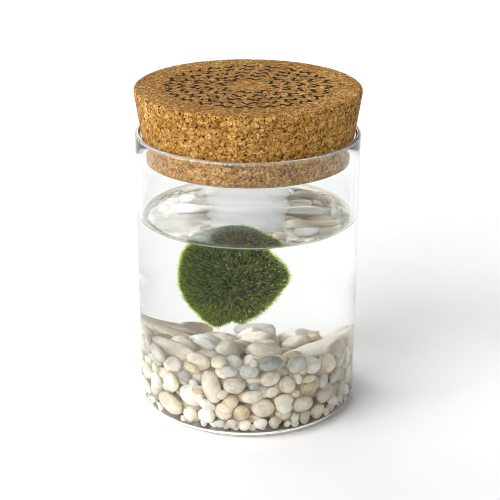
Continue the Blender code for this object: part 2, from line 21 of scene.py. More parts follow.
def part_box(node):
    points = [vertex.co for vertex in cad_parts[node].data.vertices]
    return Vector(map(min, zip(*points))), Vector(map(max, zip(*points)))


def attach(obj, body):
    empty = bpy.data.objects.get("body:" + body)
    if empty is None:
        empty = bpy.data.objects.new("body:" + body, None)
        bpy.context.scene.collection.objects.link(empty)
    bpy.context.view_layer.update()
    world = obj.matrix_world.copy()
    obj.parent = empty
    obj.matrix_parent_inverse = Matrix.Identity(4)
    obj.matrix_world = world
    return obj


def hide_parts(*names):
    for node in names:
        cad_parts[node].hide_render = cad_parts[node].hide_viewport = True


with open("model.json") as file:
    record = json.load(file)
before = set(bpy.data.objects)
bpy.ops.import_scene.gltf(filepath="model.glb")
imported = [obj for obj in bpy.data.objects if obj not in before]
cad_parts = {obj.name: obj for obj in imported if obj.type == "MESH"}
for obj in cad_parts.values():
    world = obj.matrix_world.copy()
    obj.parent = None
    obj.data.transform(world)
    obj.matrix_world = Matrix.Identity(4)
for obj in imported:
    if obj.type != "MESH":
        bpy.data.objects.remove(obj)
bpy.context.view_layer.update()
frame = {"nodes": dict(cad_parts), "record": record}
NODES = frame["nodes"]
FRONT_PEBBLES = [name for name in NODES if name.removeprefix("pebble_").isdigit()]
FINISH_OF_NODE = {row["node"]: row["material_slot"] for row in frame["record"]["subparts"]}

bl_info = {
    "name": "Marimo jar",
    "version": (1, 0, 0),
    "blender": (4, 5, 0),
    "location": "3D View > Sidebar > Marimo",
    "description": "A moss ball in a corked jar of water with a bed of washed pebbles",
    "category": "Object",
}

MM = 0.001
BODY = "root"
JAR_LOW, JAR_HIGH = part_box("glass_jar")
CORK_LOW, CORK_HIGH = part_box("cork_stopper")
# Places of the finishes of the jar's glass and of the water in their lists, after the plain one
WET_WALL, LIP, SHADE_LINE, FOOT, NECK = range(1, 6)
AT_GLASS, WATER_LINE = range(1, 3)
# The foot's round is painted white as its highlight up to the first height, and a line of
# painted shade edges it up to the second
FOOT_LIGHT_TOP = 3.5 * MM
SHADE_LINE_TOP = 4.0 * MM

# The water climbs the glass to the top of its solid, and lies lower than that away from it
WATER_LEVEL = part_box("water_upper")[1][2] - 1.3 * MM
RIPPLE_HEIGHT = 0.2 * MM
RIPPLE_LENGTH = 12.0 * MM

# Radii of the stopper at its bottom and its top
CORK_RADII = (38.7 * MM, 42.8 * MM)
# Its skin: the deepest pits, how near a cell's middle they start, and the sanding's roughness
PIT_DEPTH = 0.2 * MM
PIT_REACH = 0.28
SANDING = 0.05 * MM
# The ornament burnt into its top: distance and count of rings, waves and gaps for each unit of a
# ring's number, and a line's width and a wave's swing in ring distances
WAVE_RING = 5.0 * MM
WAVE_RINGS = 5
WAVES = 7.0
WAVE_GAPS = 4.0
WAVE_WIDTH = 0.33
WAVE_SWING = 0.2

# Filaments of the moss ball: tufts, how much they gather, how deep their tips lie under the ball's
# outer form, width of a filament, how far it curls aside, and seed of the dice
TURF = (33000, 0.3, (1.7 * MM, 3.2 * MM), 0.22 * MM, 0.45 * MM, 1)
FRINGE = (6000, 0.8, (0.0, 2.0 * MM), 0.16 * MM, 0.3 * MM, 2)
# How far tips and whole tufts stray, in radians around the ball's middle
TIP_STRAY = 0.035
TUFT_STRAY = 0.04
# The ball's radius in widths of its lighter and darker patches
MOSS_PATCHES = 19.0 * MM / (2.923 * MM)
# The ball bulges most this way, by this much more, and the narrower the higher the power
SIDE_TUFT = (0.985, -0.05, 0.165)
SIDE_TUFT_RISE = 1.4 * MM
SIDE_TUFT_POWER = 14
# Greens of the filaments, from the matted heart of the moss ball to its outermost tips, their
# darkening with depth painted shade
MATTED_GREENS = ((0.0, "#1a230f"), (0.35, "#4a6026"), (0.7, "#98ad52"), (1.0, "#e2e9b0"))
LOOSE_GREENS = ((0.0, "#8fa828"), (0.35, "#e2f04c"), (0.7, "#f4fb66"), (1.0, "#fdffb0"))

# Tones of the washed pebbles: sRGB of the stone and of its stains, and how often the tone comes
# among the pebbles that aren't at the front glass
TONES = {
    "ivory": ("#fffcf2", "#f6efdf", 16),
    "cream": ("#fdf6e8", "#eee3ce", 18),
    "white": ("#ffffff", "#f3f1ea", 27),
    "beige": ("#f2eadd", "#dccfbc", 13),
    "tan": ("#e9dcc3", "#ccb896", 3),
    "mauve": ("#e6ddd3", "#cdc2b6", 6),
    "grey": ("#e0e0d8", "#c8c8c0", 9),
    "slate": ("#b9bcba", "#93989a", 1),
    "yellow": ("#faf4e0", "#eadfc0", 2),
    "olive": ("#ddd2b8", "#b5a88a", 1),
}
TONE_NAMES = tuple(TONES)
TONE_SHARES = tuple(share for _, _, share in TONES.values())
# Widths of the bumps on a pebble's skin, and their height as a share of its size
SKIN_BUMPS = (MM / 0.3, MM / 0.8)
SKIN_HEIGHT = 0.04
# Flats that tumbling left on a pebble, and how sharp their edges are
FACETS = 13
FACET_SHARPNESS = 14.0
# Larger pebbles on top of the bed: tone, place across and deep and half sizes in mm, then the turn
# of its length in degrees and how far this end points up
TOP_PEBBLES = (
    ("cream", -22.5, -14.5, 11.5, 4.4, 3.8, -40, -8), ("white", -11.5, 9, 4.9, 4.8, 4.3, 0, 0),
    ("cream", -20, 17, 9.0, 4.4, 3.4, -30, -6), ("beige", -19, 31, 7.5, 3.4, 2.4, -35, 0),
    ("beige", -11, 34, 3.4, 3.0, 2.8, 0, 0), ("beige", -6, -7, 4.5, 4.2, 4.0, 25, 10),
    ("cream", 3.5, 17, 5.2, 4.8, 3.6, 0, 0), ("beige", 4.5, -4, 5.8, 5.0, 4.0, 5, 0),
    ("white", 10.8, 20, 4.8, 4.2, 3.4, -10, 0), ("white", 20.5, -8, 14.0, 5.4, 4.6, 32, 12),
    ("cream", 25, 11, 7.5, 4.2, 3.6, 60, 6), ("cream", 29, -12, 6.5, 3.0, 2.6, 62, 6),
    ("beige", -11, -26, 4.6, 4.2, 3.6, -10, 0), ("white", -4.5, -29.5, 2.9, 2.6, 2.5, 0, 0),
    ("white", 2, -28, 3.2, 2.8, 2.6, 0, 0), ("cream", -31, 3, 6.0, 3.8, 3.4, -70, 0),
)
# The bed's general surface: its height at the front, how much it falls to the back, how much it
# climbs to the sides, and how much more to the left and less to the right
BED_HEIGHT = 32.0 * MM
BED_FALL = 9.5 * MM
BED_CLIMB = 1.8 * MM
BED_CLIMB_LEAN = 0.8 * MM
# Loose pebbles start in rows and layers: their distance, the shift of every second layer and the
# stray of each pebble as shares of the spacing, the layers' height, and the rounds of settling
ROW_STEP = 0.87
LAYER_STEP = 0.82
LAYER_SHIFT = 0.3
STRAY = 0.2
LAYERS_TOP = 30 * MM
SETTLE_ROUNDS = 260

# Brightness of the white screen round the horizon and of the sky, and where they meet in degrees
SCREEN_LIGHT = 1.0
SKY_LIGHT = 0.2
SCREEN_EDGE = (5, 14)
# Soft lights: where each is, seen from the jar, its half angle in degrees, and its strength, which
# below zero takes light away
STUDIO_LIGHTS = (
    ((-0.14, -0.08, 1.0), 16, 3.1),  # overhead
    ((-0.90, -0.36, 0.16), 18, 6.5),  # key, low on the left
    ((-0.62, -0.70, 0.64), 22, 4.8),  # front, over the left shoulder
    ((-0.70, 1.0, 0.70), 30, 1.4),  # behind
    ((-0.17, 1.0, 0.36), 6, 3.2),  # low behind, mirrored by the water
    ((0.95, -0.25, 0.45), 30, -0.18),  # a black flag on the right
)


def length(name, description, size):
    """A setting that is a length."""
    return FloatProperty(name=name, description=description, default=size, unit="LENGTH")


class MarimoGlass(bpy.types.PropertyGroup):
    wall: length("Wall", "Thickness of the jar's wall", 2.0 * MM)
    base: length("Base", "Thickness of the jar's base", 2.6 * MM)
    foot_round: length("Foot round", "Radius where the wall meets the base", 6.7 * MM)
    steps: IntProperty(name="Steps", description="Faces around the jar", default=160, min=32)


class MarimoCork(bpy.types.PropertyGroup):
    edge: length("Edge", "Rounding of the sanded edges", 1.0 * MM)
    granule: length("Granule", "Width of the pressed cork granules", 1.9 * MM)
    steps: IntProperty(name="Steps", description="Faces around the stopper", default=360, min=48)


class MarimoWater(bpy.types.PropertyGroup):
    meniscus: length("Meniscus", "How far the water climbs the glass", 1.5 * MM)
    overlap: length("Overlap", "How far the water reaches into the glass", 0.05 * MM)


class MarimoMoss(bpy.types.PropertyGroup):
    fibre: length("Fibre", "Length of a filament outside the core", 4.0 * MM)
    turf: IntProperty(name="Turf", description="Short filaments, close together",
                      default=66000, min=1000)
    fringe: IntProperty(name="Fringe", description="Longer filaments that stand out",
                        default=18000, min=1000)
    bubbles: IntProperty(name="Bubbles", description="Air bubbles caught in the filaments",
                         default=1000, min=0)


class MarimoPebbles(bpy.types.PropertyGroup):
    spacing: length("Spacing", "Distance between pebbles before they settle", 7.3 * MM)
    smallest: length("Smallest", "Smallest half length of a pebble", 2.3 * MM)
    largest: length("Largest", "Largest half length of a pebble", 5.0 * MM)


class MarimoStage(bpy.types.PropertyGroup):
    eye: FloatVectorProperty(name="Camera", description="Place of the camera",
                             default=(0.0, -0.5194, 0.2617), subtype="TRANSLATION", unit="LENGTH")
    aim: FloatVectorProperty(name="Aim", description="Point that the camera looks at",
                             default=(0.00097, 0.0, 0.0613), subtype="TRANSLATION", unit="LENGTH")
    lens: FloatProperty(name="Lens", description="Focal length in mm", default=103.0, min=20.0)
    roll: FloatProperty(name="Roll", description="Roll of the camera",
                        default=math.radians(0.293), subtype="ANGLE")


def linear(code):
    """An sRGB #rrggbb colour as linear RGBA."""
    parts = [int(code[i:i + 2], 16) / 255 for i in (1, 3, 5)]
    return [c / 12.92 if c <= 0.04045 else ((c + 0.055) / 1.055) ** 2.4 for c in parts] + [1.0]


def feed(tree, node, inputs):
    """Sets a node's inputs, each to a value, a socket, or the first output of another node."""
    for key, value in inputs.items():
        if isinstance(value, bpy.types.Node):
            value = value.outputs[0]
        if isinstance(value, bpy.types.NodeSocket):
            tree.links.new(value, node.inputs[key])
        else:
            node.inputs[key].default_value = value


def add_node(tree, kind, inputs, stops=(), **settings):
    """Adds a shader node with its settings, its inputs, and a ramp's stops."""
    made = tree.nodes.new(f"ShaderNode{kind}")
    for name, value in settings.items():
        setattr(made, name, value)
    feed(tree, made, inputs)
    if stops:
        colours = made.color_ramp.elements
        while len(colours) < len(stops):
            colours.new(1.0)
        for colour, (place, code) in zip(colours, stops):
            colour.position = place
            colour.color = linear(code)
    return made


def new_material(name, **values):
    """A material with the shader's constant values set, and its tree and shader."""
    made = bpy.data.materials.new(name)
    made.use_nodes = True
    shader = made.node_tree.nodes["Principled BSDF"]
    feed(made.node_tree, shader, {key.replace("_", " "): values[key] for key in values})
    return made, made.node_tree, shader


def clear_material(name, ior, colour, **values):
    """A clear smooth thing, and the tint that light takes each time it passes its surface."""
    settings = {"Roughness": 0.0, "Transmission_Weight": 1.0, **values}
    return new_material(name, IOR=ior, Base_Color=linear(colour), **settings)[0]


def clear_glasses():
    """Soda-lime glass, blown: clear and fire polished, faintly green where the eye looks along it.

    Where water wets the wall, light bends by the ratio of the two, 1.47 / 1.333 = 1.103. The
    melted round lip and foot gather the light of the room, so part of their glass is painted white
    as their highlight, and a line of painted shade edges the foot. The wall mirrors little, so the
    moss ball behind stays dark.
    """
    return [
        clear_material("blown soda-lime glass", 1.47, "#fafcfb", Specular_Tint=linear("#bcbcbc")),
        clear_material("soda-lime glass under water", 1.103, "#ffffff"),
        # Partly white: the lip, painted white as its highlight
        clear_material("fire-polished glass lip with painted highlight", 1.47, "#fffaf0", Roughness=0.05,
                       Transmission_Weight=0.82),
        # A dark tint that is painted shade: the line along the foot
        clear_material("painted shade line at the glass base", 1.47, "#8f8d86"),
        # Mostly white: the foot's round, painted white as its highlight
        clear_material("rounded glass foot with painted highlight", 1.47, "#fcfbf8", Roughness=0.05,
                       Transmission_Weight=0.15),
        clear_material("soda-lime glass neck", 1.47, "#fdfefd"),
    ]


def still_waters():
    """Water, at rest: hardly tinted, and a mirror where the eye meets it at a low angle.

    Against the glass it bends nothing, because the glass there has the index of the two together.
    Where it climbs the glass, its edge gathers light, so part of it is drawn white.
    """
    return [
        clear_material("still water", 1.333, "#f3f8fa", Roughness=0.06),
        clear_material("water against glass", 1.0, "#ffffff"),
        # Mostly white: the water's edge up the glass, painted white as its highlight
        clear_material("water line at the glass with painted highlight", 1.333, "#fffdf2", Roughness=0.1,
                       Transmission_Weight=0.25),
    ]


def granules(tree, spot, size):
    """Cells of cork granules of one size: their random tones, and how far their edges are."""
    cells, edges = (add_node(tree, "TexVoronoi", {"Vector": spot, "Scale": 1 / size},
                             feature=feature).outputs for feature in ("F1", "DISTANCE_TO_EDGE"))
    tones = add_node(tree, "SeparateColor", {"Color": cells["Color"]}).outputs
    return tones, edges["Distance"]


def burnt_waves(tree, place):
    """Where the ornament burnt into the cork's top is dark: rings of small broken waves."""
    found = dict(add_node(tree, "SeparateXYZ", {"Vector": place}).outputs.items())
    found["ragged"] = add_node(tree, "TexNoise", {"Vector": place, "Scale": 1 / (1.4286 * MM)})
    steps = (
        ("across", "MULTIPLY", "X", "X"),
        ("deep", "MULTIPLY", "Y", "Y"),
        ("square", "ADD", "across", "deep"),
        ("radius", "SQRT", "square"),
        ("ring", "DIVIDE", "radius", WAVE_RING),
        ("number", "ROUND", "ring"),
        ("bearing", "ARCTAN2", "Y", "X"),
        ("turn", "ADD", "bearing", 0.37),
        ("around", "MULTIPLY", "turn", "number"),
        ("waves", "MULTIPLY", "around", WAVES),
        ("swing", "SINE", "waves"),
        ("bend", "MULTIPLY", "swing", WAVE_SWING),
        ("from ring", "SUBTRACT", "ring", "number"),
        ("from line", "SUBTRACT", "from ring", "bend"),
        ("off", "ABSOLUTE", "from line"),
        ("width", "MULTIPLY", "ragged", WAVE_WIDTH),
        ("on line", "LESS_THAN", "off", "width"),
        ("gaps", "MULTIPLY", "around", WAVE_GAPS),
        ("gap", "SINE", "gaps"),
        ("no gap", "GREATER_THAN", "gap", -0.72),
        ("past first", "GREATER_THAN", "number", 1.5),
        ("before last", "LESS_THAN", "number", WAVE_RINGS + 1.5),
        ("on top", "GREATER_THAN", "Z", CORK_HIGH[2] - 0.5 * MM),
        ("in rings", "MULTIPLY", "past first", "before last"),
        ("kept", "MULTIPLY", "in rings", "on top"),
        ("inked", "MULTIPLY", "on line", "kept"),
        ("drawn", "MULTIPLY", "inked", "no gap"),
    )
    for name, operation, *values in steps:
        inputs = {i: found.get(value, value) for i, value in enumerate(values)}
        found[name] = add_node(tree, "Math", inputs, operation=operation)
    return found["drawn"]


def pressed_cork(size):
    """Agglomerated cork, pressed and sanded: golden granules, dark specks of bark, open pits."""
    made, tree, shader = new_material("pressed and sanded cork", Roughness=0.82, IOR=1.45,
                                      Specular_IOR_Level=0.12)
    place = add_node(tree, "TexCoord", {}).outputs["Object"]
    wander = add_node(tree, "TexNoise", {"Vector": place, "Scale": 1 / (1.1111 * MM),
                                         "Detail": 2.0})
    bent = add_node(tree, "MixRGB", {"Fac": 0.9 * MM, "Color1": place,
                                     "Color2": wander.outputs["Color"]}, blend_type="ADD")
    coarse, coarse_edge = granules(tree, bent, size)
    fine, fine_edge = granules(tree, bent, size / 2.1)
    body = add_node(tree, "ValToRGB", {"Fac": coarse["Red"]}, stops=(
        (0.0, "#98682f"), (0.3, "#b27f3b"), (0.7, "#c6974c"), (1.0, "#ddb671")))
    grain = add_node(tree, "ValToRGB", {"Fac": fine["Green"]}, stops=(
        (0.0, "#2e190a"), (0.12, "#5f3b19"), (0.18, "#a87839"), (0.7, "#c5964b"),
        (1.0, "#f0cf90")))
    seam = add_node(tree, "ValToRGB", {"Fac": coarse_edge}, stops=(
        (0.0, "#3c2411"), (0.06, "#b79f84"), (0.12, "#ffffff")))
    bark = add_node(tree, "TexNoise", {"Vector": place, "Scale": 1 / (0.8696 * MM),
                                       "Detail": 3.0, "Roughness": 0.65, "Distortion": 0.6})
    dark = add_node(tree, "ValToRGB", {"Fac": bark}, stops=(
        (0.567, "#ffffff"), (0.597, "#5e3b20"), (1.0, "#2b170a")))
    drift = add_node(tree, "TexNoise", {"Vector": place, "Scale": 1 / (45.4545 * MM),
                                        "Detail": 1.0})
    tone = add_node(tree, "ValToRGB", {"Fac": drift}, stops=((0.3, "#e4dccf"), (0.7, "#ffffff")))
    colour = add_node(tree, "MixRGB", {"Fac": 0.5, "Color1": body, "Color2": grain})
    for amount, layer in ((0.55, seam), (1.0, dark), (1.0, tone)):
        colour = add_node(tree, "MixRGB", {"Fac": amount, "Color1": colour, "Color2": layer},
                          blend_type="MULTIPLY")
    burnt = add_node(tree, "MixRGB", {"Fac": burnt_waves(tree, place), "Color1": colour,
                                      "Color2": linear("#140a06")})
    edge_height = add_node(tree, "Math", {0: fine_edge, 1: coarse_edge}, operation="MULTIPLY")
    relief = add_node(tree, "Bump", {"Height": edge_height, "Strength": 0.5, "Distance": 0.6 * MM})
    feed(tree, shader, {"Base Color": burnt, "Normal": relief})
    return made


def washed_pebble(name, code, stain):
    """Quartzite and limestone, tumbled by water: matt, softly mottled, with fine pores.

    It lies in water, whose own index leaves little gloss: 1.54 / 1.333 = 1.155.
    """
    made, tree, shader = new_material(name, Roughness=0.5, IOR=1.155)
    place = add_node(tree, "TexCoord", {}).outputs["Object"]
    cloud = add_node(tree, "TexNoise", {"Vector": place, "Scale": 1 / (3.8462 * MM),
                                        "Detail": 5.0, "Roughness": 0.6})
    mottled = add_node(tree, "ValToRGB", {"Fac": cloud}, stops=((0.38, stain), (0.52, code)))
    pores = add_node(tree, "TexNoise", {"Vector": place, "Scale": 1 / (0.5263 * MM),
                                        "Detail": 3.0})
    grain = add_node(tree, "ValToRGB", {"Fac": pores}, stops=(
        (0.0, "#cfc9bf"), (0.42, "#f4f1ec"), (0.6, "#ffffff")))
    mixed = add_node(tree, "MixRGB", {"Fac": 0.7, "Color1": mottled, "Color2": grain},
                     blend_type="MULTIPLY")
    relief = add_node(tree, "Bump", {"Height": pores, "Strength": 0.5, "Distance": 0.3 * MM})
    feed(tree, shader, {"Base Color": mixed, "Normal": relief})
    return made


def moss_filaments(name, clearness, stops):
    """Living green algae, in fine filaments: lime at the tips, and darker with depth as painted
    shade.

    A filament is a row of clear green cells, so light from behind shines through it.
    """
    made, tree, shader = new_material(name, Roughness=0.7, IOR=1.08,
                                      Transmission_Weight=clearness)
    reach, shade = (add_node(tree, "Attribute", {}, attribute_name=name).outputs["Fac"]
                    for name in ("reach", "shade"))
    # Darker towards the roots: painted shade of the filaments over them
    along = add_node(tree, "ValToRGB", {"Fac": reach}, stops=stops)
    tuft = add_node(tree, "ValToRGB", {"Fac": shade}, stops=(
        (0.15, "#84946a"), (0.5, "#dbe6c2"), (0.8, "#ffffff")))
    mixed = add_node(tree, "MixRGB", {"Fac": 1.0, "Color1": along, "Color2": tuft},
                     blend_type="MULTIPLY")
    feed(tree, shader, {"Base Color": mixed})
    return made


def moss_heart():
    """The matted inside of the moss ball, painted nearly black green as shade, seen only between
    the filaments.
    """
    made, tree, shader = new_material("matted algae", Roughness=0.9, IOR=1.08)
    place = add_node(tree, "TexCoord", {}).outputs["Object"]
    mat = add_node(tree, "TexNoise", {"Vector": place, "Scale": 1 / (1.4286 * MM), "Detail": 4.0})
    # Nearly black green: painted shade under the filaments
    tone = add_node(tree, "ValToRGB", {"Fac": mat}, stops=((0.3, "#141c09"), (0.7, "#2c3d12")))
    feed(tree, shader, {"Base Color": tone})
    return made


def air_bubble():
    """Air in water: a bright bead that mirrors the light, drawn as pearly white."""
    return new_material("air bubble", Roughness=0.1, IOR=1.33, Base_Color=linear("#fffdf0"))[0]


def finished_mesh(name, bm, smooth_angle=180):
    """The bmesh as a mesh with outward normals, smooth but for edges sharper than the angle."""
    bmesh.ops.recalc_face_normals(bm, faces=bm.faces)
    made = bpy.data.meshes.new(name)
    bm.to_mesh(made)
    bm.free()
    made.shade_smooth()
    made.set_sharp_from_angle(angle=math.radians(smooth_angle))
    return made


def add_piece(name, mesh, finishes, slot, *nodes):
    """A piece of the object: it rides on the jar and stands for the CAD nodes."""
    piece = bpy.data.objects.new(name, mesh)
    bpy.context.scene.collection.objects.link(piece)
    for finish in finishes:
        mesh.materials.append(finish)
    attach(piece, BODY)
    if nodes:
        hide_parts(*nodes)
    return piece


def arc(centre_x, centre_z, radius, start, end, steps):
    """Points of an arc in the XZ plane, from one angle to another in degrees."""
    angles = [math.radians(start + (end - start) * i / steps) for i in range(steps + 1)]
    return [(centre_x + radius * math.cos(a), centre_z + radius * math.sin(a)) for a in angles]


def line(start, end, step):
    """Points from start towards end, the end left out, about a step apart."""
    count = max(1, round(math.dist(start, end) / step))
    return [(start[0] + (end[0] - start[0]) * i / count,
             start[1] + (end[1] - start[1]) * i / count) for i in range(count)]


def turned(profile, steps):
    """A closed surface of revolution from a profile that starts and ends on the axis."""
    bm = bmesh.new()
    spine = [bm.verts.new((x, 0, z)) for x, z in profile]
    edges = [bm.edges.new(pair) for pair in zip(spine, spine[1:])]
    bmesh.ops.spin(bm, geom=spine + edges, cent=(0, 0, 0), axis=(0, 0, 1),
                   angle=2 * math.pi, steps=steps)
    bmesh.ops.remove_doubles(bm, verts=bm.verts, dist=1e-7)
    return bm


def ball(subdivisions):
    """Directions and triangles of an even ball."""
    bm = bmesh.new()
    bmesh.ops.create_icosphere(bm, subdivisions=subdivisions, radius=1.0)
    bm.verts.ensure_lookup_table()
    directions = np.array([vert.co.normalized() for vert in bm.verts])
    faces = np.array([[vert.index for vert in face.verts] for face in bm.faces])
    bm.free()
    return directions, faces


def eased(values, faces, rounds):
    """Values at a ball's corners, each averaged with its neighbours round by round."""
    ends = np.concatenate([faces[:, [0, 1]], faces[:, [1, 2]], faces[:, [2, 0]]])
    for _ in range(rounds):
        total = np.zeros_like(values)
        np.add.at(total, ends[:, 0], values[ends[:, 1]])
        count = np.bincount(ends[:, 0], minlength=len(values))
        values = (values + total / count) / 2
    return values


def node_ball(node, directions):
    """A CAD node's centre, and how far its surface is from there in each direction."""
    mesh = NODES[node].data
    points = np.array([vert.co for vert in mesh.vertices])
    mesh.calc_loop_triangles()
    tree = BVHTree.FromPolygons([vert.co for vert in mesh.vertices],
                                [tri.vertices for tri in mesh.loop_triangles])
    centre = (points.min(axis=0) + points.max(axis=0)) / 2
    reach = []
    for direction in directions:
        hit = tree.ray_cast(Vector(centre), Vector(direction))
        if hit[3] is None:
            raise ValueError(f"{node} is open towards {direction}")
        reach.append(hit[3])
    return centre, np.array(reach)


def mesh_from(name, points, faces, attributes=None, tones=None):
    """A smooth mesh from arrays, with named values at its corners and a finish for each face."""
    made = bpy.data.meshes.new(name)
    made.vertices.add(len(points))
    made.vertices.foreach_set("co", np.asarray(points, np.float32).ravel())
    made.loops.add(3 * len(faces))
    made.loops.foreach_set("vertex_index", np.asarray(faces, np.int32).ravel())
    made.polygons.add(len(faces))
    made.polygons.foreach_set("loop_start", np.arange(0, 3 * len(faces), 3, dtype=np.int32))
    for key, values in (attributes or {}).items():
        store = made.attributes.new(key, "FLOAT", "POINT")
        store.data.foreach_set("value", np.asarray(values, np.float32))
    if tones is not None:
        made.polygons.foreach_set("material_index", np.asarray(tones, np.int32))
    made.update(calc_edges=True)
    made.validate()
    made.shade_smooth()
    return made


def build_jar(glass, water):
    radius, height = JAR_HIGH[0], JAR_HIGH[2]
    wet_height = WATER_LEVEL + water.meniscus
    lip = glass.wall / 2
    inner = radius - glass.wall
    inner_round = glass.foot_round - glass.wall
    foot = radius - glass.foot_round
    profile = line((0, glass.base), (foot, glass.base), 6 * MM)
    profile += arc(foot, glass.base + inner_round, inner_round, -90, 0, 10)
    profile += line((inner, glass.base + inner_round + 2 * MM), (inner, wet_height), 8 * MM)
    profile += line((inner, wet_height), (inner, height - lip), 8 * MM)
    profile += arc(inner + lip, height - lip, lip, 180, 0, 10)
    profile += line((radius, height - lip - 2 * MM), (radius, glass.foot_round), 8 * MM)
    profile += arc(foot, glass.foot_round, glass.foot_round, 0, -90, 36)
    profile += line((foot, 0), (0, 0), 6 * MM)[1:] + [(0, 0)]
    mesh = finished_mesh("clear_glass_jar", turned(profile, glass.steps))
    # The lip and the foot's round take glass partly painted white as highlight, and a band above
    # the foot is painted shade
    for face in mesh.polygons:
        across, high = face.center.xy.length, face.center.z
        inside = across < inner + 0.1 * MM and high > glass.base / 2
        if inside and high < wet_height:
            face.material_index = WET_WALL
        elif high > height - (1.1 if inside else 2.0) * lip:
            face.material_index = LIP
        elif not inside and high > CORK_LOW[2] - 1.0 * MM:
            face.material_index = NECK
        elif not inside and 0.4 * MM < high < FOOT_LIGHT_TOP:
            face.material_index = FOOT
        elif not inside and FOOT_LIGHT_TOP < high < SHADE_LINE_TOP:
            face.material_index = SHADE_LINE
    return add_piece("clear_glass_jar", mesh, clear_glasses(), "clear_glass", "glass_jar")


def water_profile(glass, water):
    """The outline of the water from its surface's middle to the middle of the jar's floor."""
    inner = JAR_HIGH[0] - glass.wall
    wall = inner + water.overlap
    inner_round = glass.foot_round - glass.wall + water.overlap
    foot = JAR_HIGH[0] - glass.foot_round
    reach = 8.0 * MM  # how far from the glass the surface starts to rise
    steep = 1.5 * MM  # over this distance from the glass the rise falls to about a third
    profile = line((0, WATER_LEVEL), (inner - reach, WATER_LEVEL), 1.5 * MM)
    for i in range(25):
        off = reach * (1 - i / 24)
        rise = water.meniscus * math.exp(-off / steep)
        profile.append((inner - off, WATER_LEVEL + rise))
    profile.append((wall, WATER_LEVEL + water.meniscus))
    floor = glass.base - water.overlap
    profile += line((wall, WATER_LEVEL - 1 * MM), (wall, glass.base + inner_round + 1 * MM),
                    8 * MM)
    profile += arc(foot, floor + inner_round, inner_round, 0, -90, 10)
    return profile + line((foot, floor), (0, floor), 6 * MM)[1:] + [(0, floor)]


def build_water(glass, water):
    calm = JAR_HIGH[0] - 3.0 * MM  # the surface has no ripples further out than this
    bm = turned(water_profile(glass, water), glass.steps)
    for vert in bm.verts:
        if vert.co.z > WATER_LEVEL - 0.1 * MM and vert.co.xy.length < calm:
            vert.co.z += RIPPLE_HEIGHT * noise.noise(vert.co / RIPPLE_LENGTH)
    mesh = finished_mesh("water_in_jar", bm, 60)
    # The water's edge up the glass takes water partly painted white as highlight
    for face in mesh.polygons:
        if face.center.z < WATER_LEVEL - RIPPLE_HEIGHT or abs(face.normal.z) < 0.2:
            face.material_index = AT_GLASS
        elif face.center.z > WATER_LEVEL + 0.4 * water.meniscus:
            face.material_index = WATER_LINE
    return add_piece("water_in_jar", mesh, still_waters(), "water", "water_lower", "water_upper")


def cork_radius(height):
    bottom, top = CORK_RADII
    return bottom + (height - CORK_LOW[2]) / (CORK_HIGH[2] - CORK_LOW[2]) * (top - bottom)


def build_cork(cork):
    low, high = CORK_LOW[2], CORK_HIGH[2]
    fine = 0.75 * MM  # from point to point where the skin shows
    top = cork_radius(high - cork.edge)
    bottom = cork_radius(low + cork.edge)
    profile = line((0, high), (top - cork.edge, high), fine)
    profile += arc(top - cork.edge, high - cork.edge, cork.edge, 90, 0, 4)
    profile += line((top, high - cork.edge - fine), (bottom, low + cork.edge), fine)
    profile += arc(bottom - cork.edge, low + cork.edge, cork.edge, 0, -90, 4)
    profile += line((bottom - cork.edge, low), (0, low), 3 * MM)[1:] + [(0, low)]
    bm = turned(profile, cork.steps)
    bm.normal_update()
    for vert in bm.verts:
        spot = vert.co / cork.granule
        nearest = noise.voronoi(spot * 0.5)[0][0]
        pit = max(0.0, PIT_REACH - nearest) / PIT_REACH
        vert.co -= vert.normal * (PIT_DEPTH * pit + SANDING * (1 + noise.noise(spot * 1.3)))
    mesh = finished_mesh("pressed_cork_stopper", bm)
    return add_piece("pressed_cork_stopper", mesh, [pressed_cork(cork.granule)], "pressed_cork",
                     "cork_stopper")


def even_directions(count, dice):
    """Directions spread evenly over a ball, each moved a little."""
    steps = np.arange(count) + 0.5
    height = 1 - 2 * steps / count
    turn = math.pi * (1 + math.sqrt(5)) * steps
    across = np.sqrt(1 - height ** 2)
    even = np.stack([np.cos(turn) * across, np.sin(turn) * across, height], 1)
    even += dice.normal(0, 1.2 / math.sqrt(count), even.shape)
    return even / np.linalg.norm(even, axis=1)[:, None]


